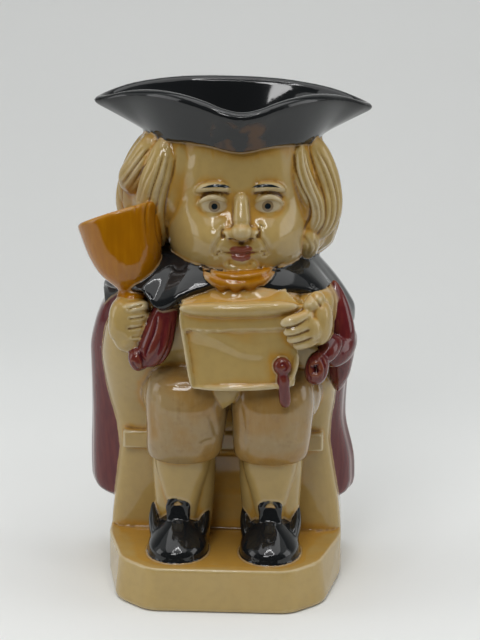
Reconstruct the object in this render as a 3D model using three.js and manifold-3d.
// A seated town crier toby jug: a slip-cast, glazed earthenware jug in the form of a stout man on a
// bench seat, with a bell in his right hand, a scroll in his left, and a tricorn hat whose brim is the mouth.
// Millimetres, +Z up, the man faces -Y. The origin is the middle of the underside.
import * as THREE from "three";
import { mergeVertices } from "three/addons/utils/BufferGeometryUtils.js";
import Module from "manifold-3d";

const wasm = await Module();
wasm.setup();

// ---- Driving dimensions ------------------------------------------------------------------------
const WALL = 4.5;
const PLINTH = { height: 20, front: -53, frontHalf: 33, corner: -38.5, cornerHalf: 48, sideHalf: 54.5,
  back: 50, shift: -1.5 };
const SEAT = { riser: 2, top: 70, bandDepth: 8.5, bandProud: 3.5, right: -50, left: 45.5 };
const LEG = { apart: 20, hem: 66, kneeTop: 107, kneeFront: -44, rightKnee: -17.6, leftKnee: 21 };
const COAT = { hem: 34, top: 150.3, fold: 2 };
const HEAD = { x: 3.5, y: -6, z: 179, turn: 6 };
const FACE = { front: -32, brow: 8.5, noseBase: -10, chin: -28.5 };
const CHEEK = { out: 13.5, height: -11, spread: 9.5, depth: 3.6 };
const HAIR = { end: 152.2, overBell: 166, byJaw: 157, top: 208, groove: 1.1 };
const HAT = { x: 1.5, crownZ: 206.5, crownHalf: 37.5, crownDepth: 39, crownY: -3, tilt: 1.5 };
const BRIM = { lip: -50, tip: 63.5, back: 39, steps: 34 };
const BELL = { neck: [-41, -27, 143.5], mouth: [-47.5, -22, 176.5], mouthRadius: 19, lean: 18, tipped: 12 };
const SCROLL = { left: -19.5, right: 34, bottom: 104, top: 140.8, face: -51.5, roll: 3.4, bow: 14 };
const HANDLE = { top: 192, bottom: 72, reach: 84, width: 15, thickness: 10 };

// ---- Clay tools --------------------------------------------------------------------------------
const degrees = THREE.MathUtils.degToRad;
const lerp = THREE.MathUtils.lerp;
const V = (x, y, z) => new THREE.Vector3(x, y, z);

// A closed geometry as a solid, with its shared corners merged and its faces pointing out.
function solid(geometry) {
  const bare = geometry.clone();
  bare.deleteAttribute("normal");
  bare.deleteAttribute("uv");
  const merged = mergeVertices(bare, 1e-3);
  const triVerts = new Uint32Array(merged.index.array).filter((_, i, all) => {
    const [a, b, c] = all.subarray(i - (i % 3), i - (i % 3) + 3);
    return a !== b && b !== c && c !== a;
  });
  const vertProperties = merged.attributes.position.array;
  const build = () => new wasm.Manifold(new wasm.Mesh({ numProp: 3, vertProperties, triVerts }));
  const made = build();
  if (made.volume() > 0) return made;
  for (let i = 0; i < triVerts.length; i += 3) {
    [triVerts[i], triVerts[i + 1]] = [triVerts[i + 1], triVerts[i]];
  }
  return build();
}

const joined = (...solids) => wasm.Manifold.union(solids.flat());

// Moves every corner of a geometry to where `rule` sends it.
function reshape(geometry, rule) {
  const position = geometry.attributes.position;
  const point = new THREE.Vector3();
  for (let i = 0; i < position.count; i += 1) {
    point.fromBufferAttribute(position, i);
    rule(point);
    position.setXYZ(i, point.x, point.y, point.z);
  }
  return geometry;
}

// Turns in degrees about X, Y and Z, then a move.
function placed(geometry, at, turn = [0, 0, 0]) {
  const rotation = new THREE.Quaternion().setFromEuler(new THREE.Euler(...turn.map(degrees), "XYZ"));
  return geometry.applyMatrix4(new THREE.Matrix4().compose(V(...at), rotation, V(1, 1, 1)));
}

// An egg of clay: an ellipsoid with the given half sizes.
function egg(halves, at, turn, sides = 12, rings = 8) {
  return placed(new THREE.SphereGeometry(1, sides, rings).scale(...halves), at, turn);
}

// A value read off a table of [height, value] rows, joined by straight lines.
function read(table, height) {
  const above = table.findIndex(([h]) => h >= height);
  if (above === 0) return table[0][1];
  if (above < 0) return table.at(-1)[1];
  const [[h0, v0], [h1, v1]] = [table[above - 1], table[above]];
  return lerp(v0, v1, (height - h0) / (h1 - h0));
}

// All the values of a table of [height, ...values] rows, read at one height.
const readRow = (table, height) =>
  table[0].slice(1).map((_, i) => read(table.map((row) => [row[0], row[i + 1]]), height));

// A roll of clay along a curve through `points`, rounded at both ends. `radii` run along it, and `flat`
// thins it across the direction `across`.
function limb(points, radii, { sides = 10, rings = 8, flat = 1, across = V(0, 1, 0) } = {}) {
  const curve = new THREE.CatmullRomCurve3(points.map((p) => V(...p)), false, "centripetal");
  const table = radii.map((r, i) => [i / (radii.length - 1), r]);
  return reshape(new THREE.SphereGeometry(1, sides, rings), (p) => {
    const along = (1 - p.y) / 2;
    const cap = Math.sqrt(Math.max(0, 1 - Math.abs(2 * along - 1) ** 4));
    const ring = Math.hypot(p.x, p.z);
    const [c, s] = ring > 1e-6 ? [p.x / ring, p.z / ring] : [0, 0];
    const tangent = curve.getTangentAt(along);
    const thin = across.clone().addScaledVector(tangent, -across.dot(tangent)).normalize();
    const wide = tangent.clone().cross(thin);
    const radius = read(table, along) * cap * (ring > 1e-6 ? 1 : 0);
    p.copy(curve.getPointAt(along));
    p.addScaledVector(wide, c * radius).addScaledVector(thin, s * radius * flat);
  });
}

// A standing mass of clay. `levels` are heights in order, and `plan(angle, height)` gives the outline's x
// and y there, and a third value where the outline isn't level.
function mass(levels, sides, plan) {
  const stack = new THREE.CylinderGeometry(1, 1, levels.length - 1, sides, levels.length - 1);
  return reshape(stack, (p) => {
    const level = levels[Math.round(p.y + (levels.length - 1) / 2)];
    const at = (angle) => {
      const [x, y, z = level] = plan(angle, level);
      return V(x, y, z);
    };
    const onAxis = Math.hypot(p.x, p.z) < 0.5;
    if (onAxis) p.lerpVectors(at(0), at(Math.PI), 0.5);
    else p.copy(at(Math.atan2(p.z, p.x)));
  });
}

// A rounded-square outline between a right, left, front and back limit, each moved in by `inset`. A high
// `power` squares the corners.
function squarish(angle, [right, left, front, back], power, inset = 0) {
  const [c, s] = [Math.cos(angle), Math.sin(angle)];
  const radius = (Math.abs(c) ** power + Math.abs(s) ** power) ** (-1 / power);
  const [halfX, halfY] = [(left - right) / 2 - inset, (back - front) / 2 - inset];
  return [(left + right) / 2 + halfX * c * radius, (front + back) / 2 + halfY * s * radius];
}

// ---- Plinth and bench --------------------------------------------------------------------------
// The plan of the plinth: a flat front, cut corners, sides that widen to the back, and rounded back
// corners.
function plinthPlan(inset) {
  const { front, frontHalf, corner, cornerHalf, sideHalf, back } = PLINTH;
  const side = sideHalf - inset;
  const [flat, cut] = [frontHalf - inset * 0.4, cornerHalf - inset];
  const [near, far] = [front + inset, back - inset];
  const shape = new THREE.Shape();
  shape.moveTo(-flat + 5, near);
  shape.lineTo(flat - 5, near);
  shape.quadraticCurveTo(flat, near, flat + 4, near + 3.6);
  shape.lineTo(cut - 3, corner - 2.8 + inset * 0.4);
  shape.quadraticCurveTo(cut, corner + inset * 0.4, cut + 1, corner + 6);
  shape.lineTo(side, 0);
  shape.lineTo(side, 22);
  shape.quadraticCurveTo(side, far, side - 24, far);
  shape.lineTo(24 - side, far);
  shape.quadraticCurveTo(-side, far, -side, 22);
  shape.lineTo(-side, 0);
  shape.lineTo(-cut - 1, corner + 6);
  shape.quadraticCurveTo(-cut, corner + inset * 0.4, 3 - cut, corner - 2.8 + inset * 0.4);
  shape.lineTo(-flat - 4, near + 3.6);
  shape.quadraticCurveTo(-flat, near, 5 - flat, near);
  return shape;
}

// The front of the plinth and its cut corners lean back a little as they rise.
function leanBack(p) {
  const rise = p.z / PLINTH.height;
  const forward = THREE.MathUtils.clamp((30 - p.y) / 60, 0, 1);
  p.x = p.x * (1 - 0.06 * rise * forward) + PLINTH.shift;
  p.y *= 1 - 0.03 * rise * forward;
}

function plinth() {
  const bevel = 1;
  const slab = new THREE.ExtrudeGeometry(plinthPlan(bevel), {
    depth: PLINTH.height - 2 * bevel,
    bevelThickness: bevel,
    bevelSize: bevel,
    bevelSegments: 1,
    curveSegments: 3,
  });
  return solid(reshape(slab.translate(0, 0, bevel), leanBack));
}

// The bench that he sits on: its front is a plain riser under a raised band.
function benchPlan(angle, z, inset) {
  const limits = readRow([[12, -55, 52, SEAT.riser, 48], [SEAT.top, SEAT.right, SEAT.left, -1.5, 46]], z);
  return squarish(angle, limits, 5, inset);
}

function bench() {
  const block = mass([12, 40, SEAT.top], 24, (angle, z) => benchPlan(angle, z, 0));
  const band = new THREE.BoxGeometry(SEAT.left - SEAT.right - 3, 12, SEAT.bandDepth)
    .translate((SEAT.left + SEAT.right) / 2, 6 - SEAT.bandProud - 1.5, SEAT.top - SEAT.bandDepth / 2);
  return [solid(block), solid(band)];
}

// ---- Legs and shoes ----------------------------------------------------------------------------
function leg(side) {
  const x = side * LEG.apart;
  // The calf is a half-round column that runs back into the bench.
  const column = [[18, 11, -21], [32, 12, -24], [44, 14, -27.5], [70, 15, -31.5]];
  const calf = mass(column.map(([z]) => z), 10, (angle, z) => {
    const [half, front] = readRow(column, z);
    return squarish(angle, [x - half, x + half, front, 4], 2.8);
  });
  // The breeches end below the knee in a cuff that stands a little proud of the stocking and sags in front.
  const knee = side < 0 ? LEG.rightKnee : LEG.leftKnee;
  const shape = [[LEG.hem, 15.4, -33.5, -4, 0.35], [LEG.hem + 2, 16.8, -36, -4, 0.4],
    [78, 17.8, -42, -4, 0.8], [92, 18.8, LEG.kneeFront, -4, 1], [102, 17, -41, -9, 1],
    [LEG.kneeTop, 10, -34, -12, 1]];
  const cuff = mass(shape.map(([z]) => z), 12, (angle, z) => {
    const [half, front, back, towardsKnee] = readRow(shape, z);
    const middle = lerp(x, knee, towardsKnee);
    const [px, py] = squarish(angle, [middle - half, middle + half, front, back], 2.6);
    return [px, py, z + 2.2 * Math.sin(angle) * Math.max(0, 1 - (z - LEG.hem) / 4)];
  });
  const thigh = limb([[knee, -30, 90], [knee + side * 4, -12, 92], [side * 24, 8, 92]], [16, 18, 18],
    { sides: 10, rings: 4, across: V(0, 0, 1) });
  return [solid(calf), solid(cuff), solid(thigh)];
}

// A round-toed shoe: an upper, the two quarters that rise to points beside the ankle, and a tongue.
function shoe(side) {
  const x = side * LEG.apart + (side < 0 ? -1.8 : 0.4);
  const shape = [[18, 12.8, -44], [22, 13.6, -45.4], [27, 12.4, -42], [31.5, 9.5, -36], [35, 6, -30]];
  const upper = mass(shape.map(([z]) => z), 12, (angle, z) => {
    const [half, front] = readRow(shape, z);
    return squarish(angle, [x - half, x + half, front, -6], 2.2);
  });
  const quarters = [-1, 1].map((edge) => limb(
    [[x + edge * 10, -26, 26], [x + edge * 11.6, -18, 31], [x + edge * 12.6, -12, 38.5]], [5, 4.4, 1.6],
    { sides: 6, rings: 4, flat: 0.55, across: V(1, 0, 0) }));
  const tongue = mass([-2.2, 1.3], 10, (angle) => squarish(angle, [-5, 5, -7, 7], 3));
  placed(tongue, [x, -27.2, 37.5], [-76, 0, 0]);
  return [solid(upper), solid(tongue), ...quarters.map(solid)];
}

// ---- Trunk, coat and cape ----------------------------------------------------------------------
// The trunk is the waistcoat, lining and chair sides in one mass. Rows are
// [height, right, left, front, back].
const TRUNK = [[58, -52, 46, 0, 41], [72, -53.5, 46.5, -3, 41], [84, -56, 49, -9, 42],
  [94, -57.5, 50, -18, 42], [106, -58.5, 51, -28, 42], [120, -56.5, 50, -33.5, 41], [132, -49, 47, -35.5, 38],
  [142, -42, 41, -35, 35], [149, -34, 34, -31, 32]];
const trunkPlan = (angle, z, inset) => squarish(angle, readRow(TRUNK, z), 3.2, inset);

function trunk() {
  const core = mass(TRUNK.map(([z]) => z), 20, (angle, z) => trunkPlan(angle, z, 0));
  const chest = egg([29, 22, 14], [7, -24, 138], [-8, 0, 0], 12, 6);
  const flap = limb([[1, -26, 108], [0, -36, 100], [-1, -36, 92]], [13, 9, 3.5],
    { sides: 8, rings: 4, flat: 0.7 });
  return [solid(core), solid(chest), solid(flap)];
}

// The coat hangs round the back and sides from the shoulders. Rows are [height, right, left, front, back].
const COAT_SIDES = [[COAT.hem, -62.5, 54, 6, 48], [37, -65.6, 57, 5.7, 48], [48, -66.4, 57.8, 4.3, 48],
  [74, -66, 53.5, 0, 47], [105, -66.2, 55.5, -8.5, 45], [120, -63, 56.4, -12, 43.5],
  [132, -59, 57, -13.5, 42], [144, -50, 50, -15, 38], [COAT.top, -42, 43, -14, 36]];
const coatPlan = (angle, z, inset) => squarish(angle, readRow(COAT_SIDES, z), 2.9, inset);

// Its folds run down behind and deepen towards the hem, which dips in front.
function coat() {
  return solid(mass(COAT_SIDES.map(([z]) => z), 40, (angle, z) => {
    const [x, y] = coatPlan(angle, z, 0);
    const behind = THREE.MathUtils.smoothstep(Math.sin(angle), -0.35, 0.35);
    const fold = COAT.fold * behind * THREE.MathUtils.clamp((138 - z) / 80, 0, 1) * Math.cos(10 * angle);
    const dip = z === COAT.hem ? 1.2 * (1 - Math.sin(angle)) : 0;
    return [x + fold * Math.cos(angle), y + fold * Math.sin(angle), z - dip];
  }));
}

// The shoulder cape: a flared collar with a thick hem, which rises in front to show the waistcoat.
function cape() {
  const rightHem = [[0, 127], [0.1, 141], [0.6, 137], [0.75, 137], [0.92, 142], [1, 149]];
  const leftHem = [[0, 127], [0.15, 127.5], [0.5, 139], [0.75, 147], [1, 149]];
  const flare = [[0, 0.955], [0.07, 1], [0.25, 0.97], [0.55, 0.85], [1, 0.62]];
  return solid(mass(flare.map(([share]) => share), 32, (angle, share) => {
    const forward = Math.max(0, -Math.sin(angle));
    const hem = read(Math.cos(angle) > 0 ? leftHem : rightHem, forward);
    const spread = read(flare, share);
    const [x, y] = squarish(angle, [-58, 60, -42, 49], 2.2);
    return [x * spread, y * lerp(spread, 1, 0.5 * forward), lerp(hem, 158, share)];
  }));
}

// The frilled neckcloth under the chin.
function cravat() {
  return solid(limb([[-13, -32, 154.5], [-4, -41, 152], [5, -43, 151.4], [14, -41, 152.2], [22, -33, 155]],
    [2.6, 3.6, 4, 3.6, 2.6], { sides: 6, rings: 9, flat: 0.9 }));
}

// ---- Arms and hands ----------------------------------------------------------------------------
// Four curled fingers, laid side by side from `first` to `last`. Each runs from its knuckle to its tip.
function fingers(first, last, radius) {
  return [0, 1, 2, 3].map((n) => {
    const points = first.map((point, i) => point.map((value, axis) => lerp(value, last[i][axis], n / 3)));
    return solid(limb(points, [radius, radius, radius * 0.85], { sides: 7, rings: 4 }));
  });
}

// The right arm: a sleeve that comes down to the elbow, its turned-back cuff, and a fist round the bell's
// stem.
function bellArm() {
  const sleeve = limb([[-26, -25, 147], [-26.4, -37, 134], [-28.4, -39, 122], [-33.5, -39, 109]],
    [5.2, 5.6, 6, 6.6], { sides: 10, rings: 6 });
  const cuff = limb([[-32, -39, 108], [-38, -40, 107.6], [-41.5, -38.6, 116]], [5.2, 6.4, 5],
    { sides: 8, rings: 4 });
  const palm = egg([9, 9.6, 12.2], [-43.6, -32.5, 129], [0, 0, 0], 12, 7);
  const grip = fingers([[-46, -39, 137], [-40, -41.5, 137.5], [-35.5, -36, 137]],
    [[-47, -38, 120.5], [-41, -41, 119.5], [-36.5, -36, 119]], 2.9);
  return [sleeve, cuff, palm].map(solid).concat(grip);
}

// The left arm: a shirt sleeve and hand that hold the scroll's edge, and the coat's open cuff below them.
function scrollArm() {
  const sleeve = limb([[40, -10, 138], [45, -24, 134], [43, -38, 133]], [11, 10.5, 9],
    { sides: 8, rings: 4, across: V(0, 0, 1) });
  const palm = egg([9, 7, 13], [39, -44, 133], [0, 0, -16], 12, 7);
  const thumb = limb([[42, -43, 142], [38, -46, 146.5], [32, -48, 144.5]], [3.6, 3.4, 2.8],
    { sides: 6, rings: 4 });
  const hold = fingers([[41, -50, 143], [31, -54.5, 140], [21, -53.5, 136]],
    [[42, -49, 129], [36.5, -53.5, 126], [30.5, -53.5, 122.5]], 3.2);
  const cuff = limb([[51, -10, 120], [49, -26, 116], [42, -38.5, 111.5]], [7.4, 8, 8],
    { sides: 10, rings: 5, across: V(0, 0, 1) });
  const mouth = egg([3, 5, 4.6], [40.5, -46, 111], [0, 0, 8], 8, 5);
  return [...[sleeve, palm, thumb].map(solid), ...hold, solid(cuff).subtract(solid(mouth))];
}

// ---- What he carries ---------------------------------------------------------------------------
// The bell is held mouth up. Its mouth leans out and tips back more than its neck does.
function bell() {
  const profile = [[0, 0.34], [0.12, 0.54], [0.3, 0.74], [0.6, 0.88], [0.95, 1], [1, 0.96]];
  const cup = mass(profile.map(([share]) => share), 18, (angle, share) => {
    const lean = degrees(lerp(3, BELL.lean, share));
    const tip = degrees(BELL.tipped * share);
    const radius = read(profile, share) * BELL.mouthRadius;
    const [x, y, z] = BELL.neck.map((value, axis) => lerp(value, BELL.mouth[axis], share));
    const [out, along] = [radius * Math.cos(angle), radius * Math.sin(angle)];
    return [x + out * Math.cos(lean), y + along, z + out * Math.sin(lean) - along * Math.sin(tip)];
  });
  const dish = egg([15.4, 15.4, 4.5], BELL.mouth, [-BELL.tipped, -BELL.lean, 0], 14, 4);
  const stem = limb([[-42, -32, 124], [-42, -29.5, 136], BELL.neck, [-41, -26, 148]], [5, 5.4, 6.2, 7],
    { sides: 8, rings: 4 });
  const collar = egg([7.4, 7.4, 2.2], [-41.6, -27.5, 141.5], [0, -4, 0], 8, 4);
  return [solid(cup).subtract(solid(dish)), solid(stem), solid(collar)];
}

// The scroll: a bowed sheet, rolled over at the top and lipped below, and its ribbon seal.
function scrollEdge(z, radius, shorter, y) {
  const { left, right, bow } = SCROLL;
  const points = [-0.5, -0.25, 0, 0.25, 0.5].map((share) => {
    const x = (left + right) / 2 + share * (right - left - shorter) + shorter / 3;
    return [x, y + bow * share * share, z + 3.2 * share];
  });
  return limb(points, [radius, radius], { sides: 7, rings: 6 });
}

function scroll() {
  const { left, right, bottom, top, face, roll, bow } = SCROLL;
  const sheet = reshape(new THREE.BoxGeometry(right - left, 12, top - bottom, 6, 1, 2), (p) => {
    const across = p.x / (right - left);
    const rise = p.z / (top - bottom);
    p.x = (left + right) / 2 + p.x * lerp(0.83, 1, rise + 0.5) + 1.1 * (0.5 - rise);
    p.y += face + 6 + bow * across * across + 1.4 * Math.cos(rise * Math.PI);
    p.z += (top + bottom) / 2 + 2 * across;
  });
  const rolled = scrollEdge(top - 0.5, roll, 2, face + 0.4);
  const lipped = scrollEdge(bottom + 0.8, 1.3, 9, face + 2);
  const seal = egg([3.8, 3.4, 4], [26, face + 1.6, 114.5], [0, 0, 0], 8, 4);
  const ribbon = limb([[26, face + 2, 113], [26.6, face + 3.4, 106], [27, -45, 101], [27.5, -42.4, 95]],
    [2.4, 2.6, 3.4, 3], { sides: 6, rings: 5 });
  return [sheet, rolled, lipped, seal, ribbon].map(solid);
}

// ---- Head --------------------------------------------------------------------------------------
// The face is built about the head's own middle, looking along -Y, then turned and set on the body.
const onHead = (geometry) => placed(geometry, [HEAD.x, HEAD.y, HEAD.z], [0, 0, HEAD.turn]);
const both = (make) => [-1, 1].map(make);

// [height, half width, front] of the head, from the chin to inside the hat.
const SKULL = [[-29, 15, -22], [-27.5, 21, -27.5], [-24, 26.5, -31], [-18, 30, -32.5], [-8, 32, -32.5],
  [4, 31, -32], [14, 30, -32], [29.5, 29.5, -32.5]];

// The skull's outline, which swells over each cheek.
function skullPlan(angle, z, inset) {
  const [half, front] = readRow(SKULL, z);
  const [x, y] = squarish(angle, [-half, half, front, 24], 2.3, inset);
  const { out, height, spread, depth } = CHEEK;
  const swell = depth * Math.exp(-2.2 * (Math.abs(x) / out - 1) ** 2 - ((z - height) / spread) ** 2);
  return [x, y < 0 ? y - swell : y];
}

function eyeSocket(side) {
  const { front, brow } = FACE;
  const eye = brow - 5;
  // Each ridge runs across the face: [distance out, y, z] at its inner end, middle and outer end.
  const ridge = (points, radii) => limb(points.map(([out, y, z]) => [side * out, y, z]), radii,
    { sides: 6, rings: 4 });
  return [
    ridge([[4, front + 1, brow + 0.5], [11, front + 1, brow + 2.6], [19, front + 5, brow]], [1.8, 2.4, 1.4]),
    ridge([[4.6, front + 2, eye + 0.4], [10.5, front - 1.4, eye + 3.2], [16.6, front + 3, eye]], [1, 1.4, 1]),
    egg([5.6, 4, 3.6], [side * 10.5, front + 2.2, eye], [0, 0, side * 14], 8, 5),
  ];
}

function nose() {
  const { front, brow, noseBase } = FACE;
  const bridge = limb([[0, front + 2.4, brow], [0, front - 1.6, brow - 8], [0, front - 4.2, noseBase + 3]],
    [2.6, 3.4, 4.4], { sides: 7, rings: 5 });
  const wings = both((side) =>
    egg([2.9, 3.4, 2.6], [side * 4.2, front - 0.8, noseBase + 1.8], [0, 0, 0], 6, 4));
  return [bridge, ...wings];
}

function lips() {
  const { front, noseBase, chin } = FACE;
  const mouth = lerp(noseBase, chin, 1 / 3);
  const bow = both((side) => [side * 3.4, front - 0.8, mouth + 1.8]);
  const upper = limb([[-8.6, front + 1.4, mouth], ...bow, [8.6, front + 1.4, mouth]], [1.2, 1.9, 1.9, 1.2],
    { sides: 6, rings: 6 });
  const corners = both((side) => [side * 7.6, front + 1.6, mouth - 1]);
  const lower = limb([corners[0], [0, front - 0.4, mouth - 2.6], corners[1]], [1.2, 2.3, 1.2],
    { sides: 6, rings: 5 });
  return [upper, lower];
}

function face() {
  const { front, chin } = FACE;
  const levels = [-29, -27.5, -24, -18, -13, -8, -3, 4, 14, 29.5];
  const skull = mass(levels, 28, (angle, z) => skullPlan(angle, z, 0));
  const chinPad = egg([9, 6, 5.5], [0, front + 3.4, chin + 6], [0, 0, 0], 8, 5);
  const parts = [skull, chinPad, ...nose(), ...lips(), ...both(eyeSocket).flat()];
  return parts.map((part) => solid(onHead(part)));
}

// The hair: a mass round the sides and back, combed into locks by shallow grooves. Rows are
// [share of the way up, right, left, front, back].
const WIG = [[0, -39, 40, -24, 36], [0.1, -45, 46, -28, 40], [0.3, -48.5, 48.5, -32, 42],
  [0.55, -47.5, 46.5, -34, 42], [0.8, -43, 42.5, -35, 40], [1, -37.5, 38.5, -34, 36.5]];
const wigPlan = (angle, share, inset) => squarish(angle, readRow(WIG, share), 2.2, inset);

// Where the hair ends below, round the head: over the bell in front on his right, by the jaw on his left.
function hairEnd(angle) {
  const forward = THREE.MathUtils.clamp(0.3 - Math.sin(angle), 0, 1);
  return lerp(HAIR.end, Math.cos(angle) > -0.001 ? HAIR.byJaw : HAIR.overBell, forward);
}

// A lock of hair that runs down the wig from under the hat, proud of it, from one angle to another.
function lock(fromAngle, toAngle, radius, curl = 0) {
  const points = [1, 0.75, 0.45, 0.2, 0.04].map((share) => {
    const angle = degrees(lerp(toAngle, fromAngle, share));
    const [x, y] = wigPlan(angle, share, 3.2 + curl * Math.max(0, 0.2 - share));
    return [x, y, lerp(hairEnd(angle), HAIR.top, share)];
  });
  return solid(limb(points, [radius * 0.8, radius, radius, radius * 0.7], { sides: 8, rings: 5 }));
}

function hair() {
  const wig = mass(WIG.map(([share]) => share), 44, (angle, share) => {
    const [x, y] = wigPlan(angle, share, 0);
    const comb = HAIR.groove * Math.cos(11 * angle + 0.6 * share);
    return [x + comb * Math.cos(angle), y + comb * Math.sin(angle), lerp(hairEnd(angle), HAIR.top, share)];
  });
  const rightLocks = [lock(-128, -133, 7.5), lock(-150, -158, 6.5), lock(-172, -178, 6.5)];
  const leftLocks = [lock(-55, -47, 7.5, 20), lock(-32, -24, 7.5), lock(-10, -2, 6.5)];
  return [solid(wig), ...rightLocks, ...leftLocks];
}

// ---- Hat ---------------------------------------------------------------------------------------
// The rim of the tricorn, one side from the lip in front to the back: [x, y, z]. The other side mirrors it.
const RIM = [[0, BRIM.lip, 222.7], [8, -49, 223.9], [16, -45.2, 226.2], [25, -39, 227.8],
  [36, -28.5, 228.2], [49, -12, 226], [59.5, 0, 222], [BRIM.tip, 7.5, 220.6], [60.5, 15, 221.6],
  [50, 24, 224.4], [32, 33.5, 226.8], [0, BRIM.back, 227.8]];
const otherSide = RIM.slice(1, -1).reverse().map(([x, y, z]) => [-x, y, z]);
const rimCurve = new THREE.CatmullRomCurve3([...RIM, ...otherSide].map((p) => V(...p)), true, "centripetal");

// The brim at `share` of the way from the crown (0) to the rim (1), moved in by `inset` across the wall.
function brim(share, turn, inset) {
  const rim = rimCurve.getPoint((((turn / (2 * Math.PI)) % 1) + 1) % 1);
  const away = Math.atan2(rim.y - HAT.crownY, rim.x);
  const [crownX, crownY] = [HAT.crownHalf * Math.cos(away), HAT.crownY + HAT.crownDepth * Math.sin(away)];
  const flare = share ** 1.08;
  const [x, y] = [lerp(crownX, rim.x, flare), lerp(crownY, rim.y, flare)];
  const reach = Math.hypot(x, y - HAT.crownY);
  const kept = (reach - inset) / reach;
  return [x * kept, HAT.crownY + (y - HAT.crownY) * kept, lerp(HAT.crownZ, rim.z, share)];
}

// A surface of the hat, from rings of [share of the brim, inset, lift], set on the head.
function hatSurface(rings) {
  const shell = mass(rings.map((_, i) => i), BRIM.steps, (angle, i) => {
    const [share, inset, lift] = rings[i];
    const [x, y, z] = brim(share, angle, inset);
    return [x, y, z + lift];
  });
  return solid(placed(shell.translate(0, 0, -HAT.crownZ), [HAT.x, 0, HAT.crownZ], [0, HAT.tilt, HEAD.turn]));
}

// The outside of the brim, which rounds over its edge, and the funnel inside it, which opens past the rim.
const hatOutside = () =>
  hatSurface([[0, 0, 0], [0.5, 0, 0], [0.94, 0, 0], [1, 0.6, 1.2], [1, 3.4, 2], [1, 6, 0.6]]);
const hatInside = () => hatSurface([[0, 8.5, -14], [0, 6, 0], [1, 4.6, 0.4], [1, 3.2, 12]]);

// ---- Handle and hollow -------------------------------------------------------------------------
function handle() {
  const { top, bottom, reach, width, thickness } = HANDLE;
  const outer = reach - thickness / 2;
  const half = thickness / 2;
  return solid(limb(
    [[0, 30, top - 3], [0, 52, top - 1], [0, outer - 7, top - 13], [0, outer, top - 34],
      [0, outer - 4, top - 66], [0, outer - 16, bottom + 26], [0, 56, bottom + 8], [0, 38, bottom]],
    [half + 1, half, half, half, half - 0.5, half - 0.5, half, half + 1],
    { sides: 9, rings: 13, flat: width / thickness, across: V(1, 0, 0) }));
}

// The hollow that the slip leaves: one wall inside the plinth, bench, trunk and head, open at the hat.
function hollow() {
  const slab = new THREE.ExtrudeGeometry(plinthPlan(WALL + 1.5),
    { depth: 10.5, bevelEnabled: false, curveSegments: 2 });
  const foot = reshape(slab.translate(0, 0, WALL), leanBack);
  const seat = mass([WALL, SEAT.top - 5], 14, (angle, z) => benchPlan(angle, Math.max(z, 12), WALL + 0.7));
  const behind = mass([41, 74, 105, 120, 134, 145], 16, (angle, z) => coatPlan(angle, z, WALL + COAT.fold));
  const belly = mass([66, 74, 90, 106, 132, 140, 149], 16, (angle, z) => trunkPlan(angle, z, WALL + 0.6));
  const laps = both((side) => egg([10.5, 24, 11], [side * 20.5, -14, 91], [0, 0, 0], 8, 5));
  const neck = mass([138, 162], 12, (angle) => squarish(angle, [-22, 28, -24, 31], 2.2));
  const nape = mass([0, 0.3, 0.6, 1], 16, (angle, share) => {
    const [x, y] = wigPlan(angle, share, WALL + 1.4);
    return [x, Math.max(y, -17), lerp(hairEnd(angle) + 6, HAIR.top - 1, share)];
  });
  const head = onHead(mass([-20, -8, 4, 30], 16, (angle, z) => skullPlan(angle, z, WALL + 0.3)));
  return joined([foot, seat, behind, belly, ...laps, neck, nape, head].map(solid), hatInside());
}

// ---- The jug -----------------------------------------------------------------------------------
const clay = joined(
  plinth(), bench(), leg(-1), leg(1), shoe(-1), shoe(1),
  trunk(), coat(), cape(), cravat(), bellArm(), scrollArm(),
  bell(), scroll(), face(), hair(), hatOutside(), handle());

function meshOf(made, name, material) {
  const { vertProperties, triVerts } = made.getMesh();
  const geometry = new THREE.BufferGeometry()
    .setAttribute("position", new THREE.BufferAttribute(vertProperties, 3))
    .setIndex(new THREE.BufferAttribute(triVerts, 1));
  geometry.computeVertexNormals();
  const mesh = new THREE.Mesh(geometry, material);
  mesh.name = name;
  return mesh;
}

const glaze = new THREE.MeshStandardMaterial({ color: 0xb79a5c, roughness: 0.15, metalness: 0 });
const jug = new THREE.Group();
jug.add(meshOf(clay.subtract(hollow()), "toby_jug", glaze));

export default jug;
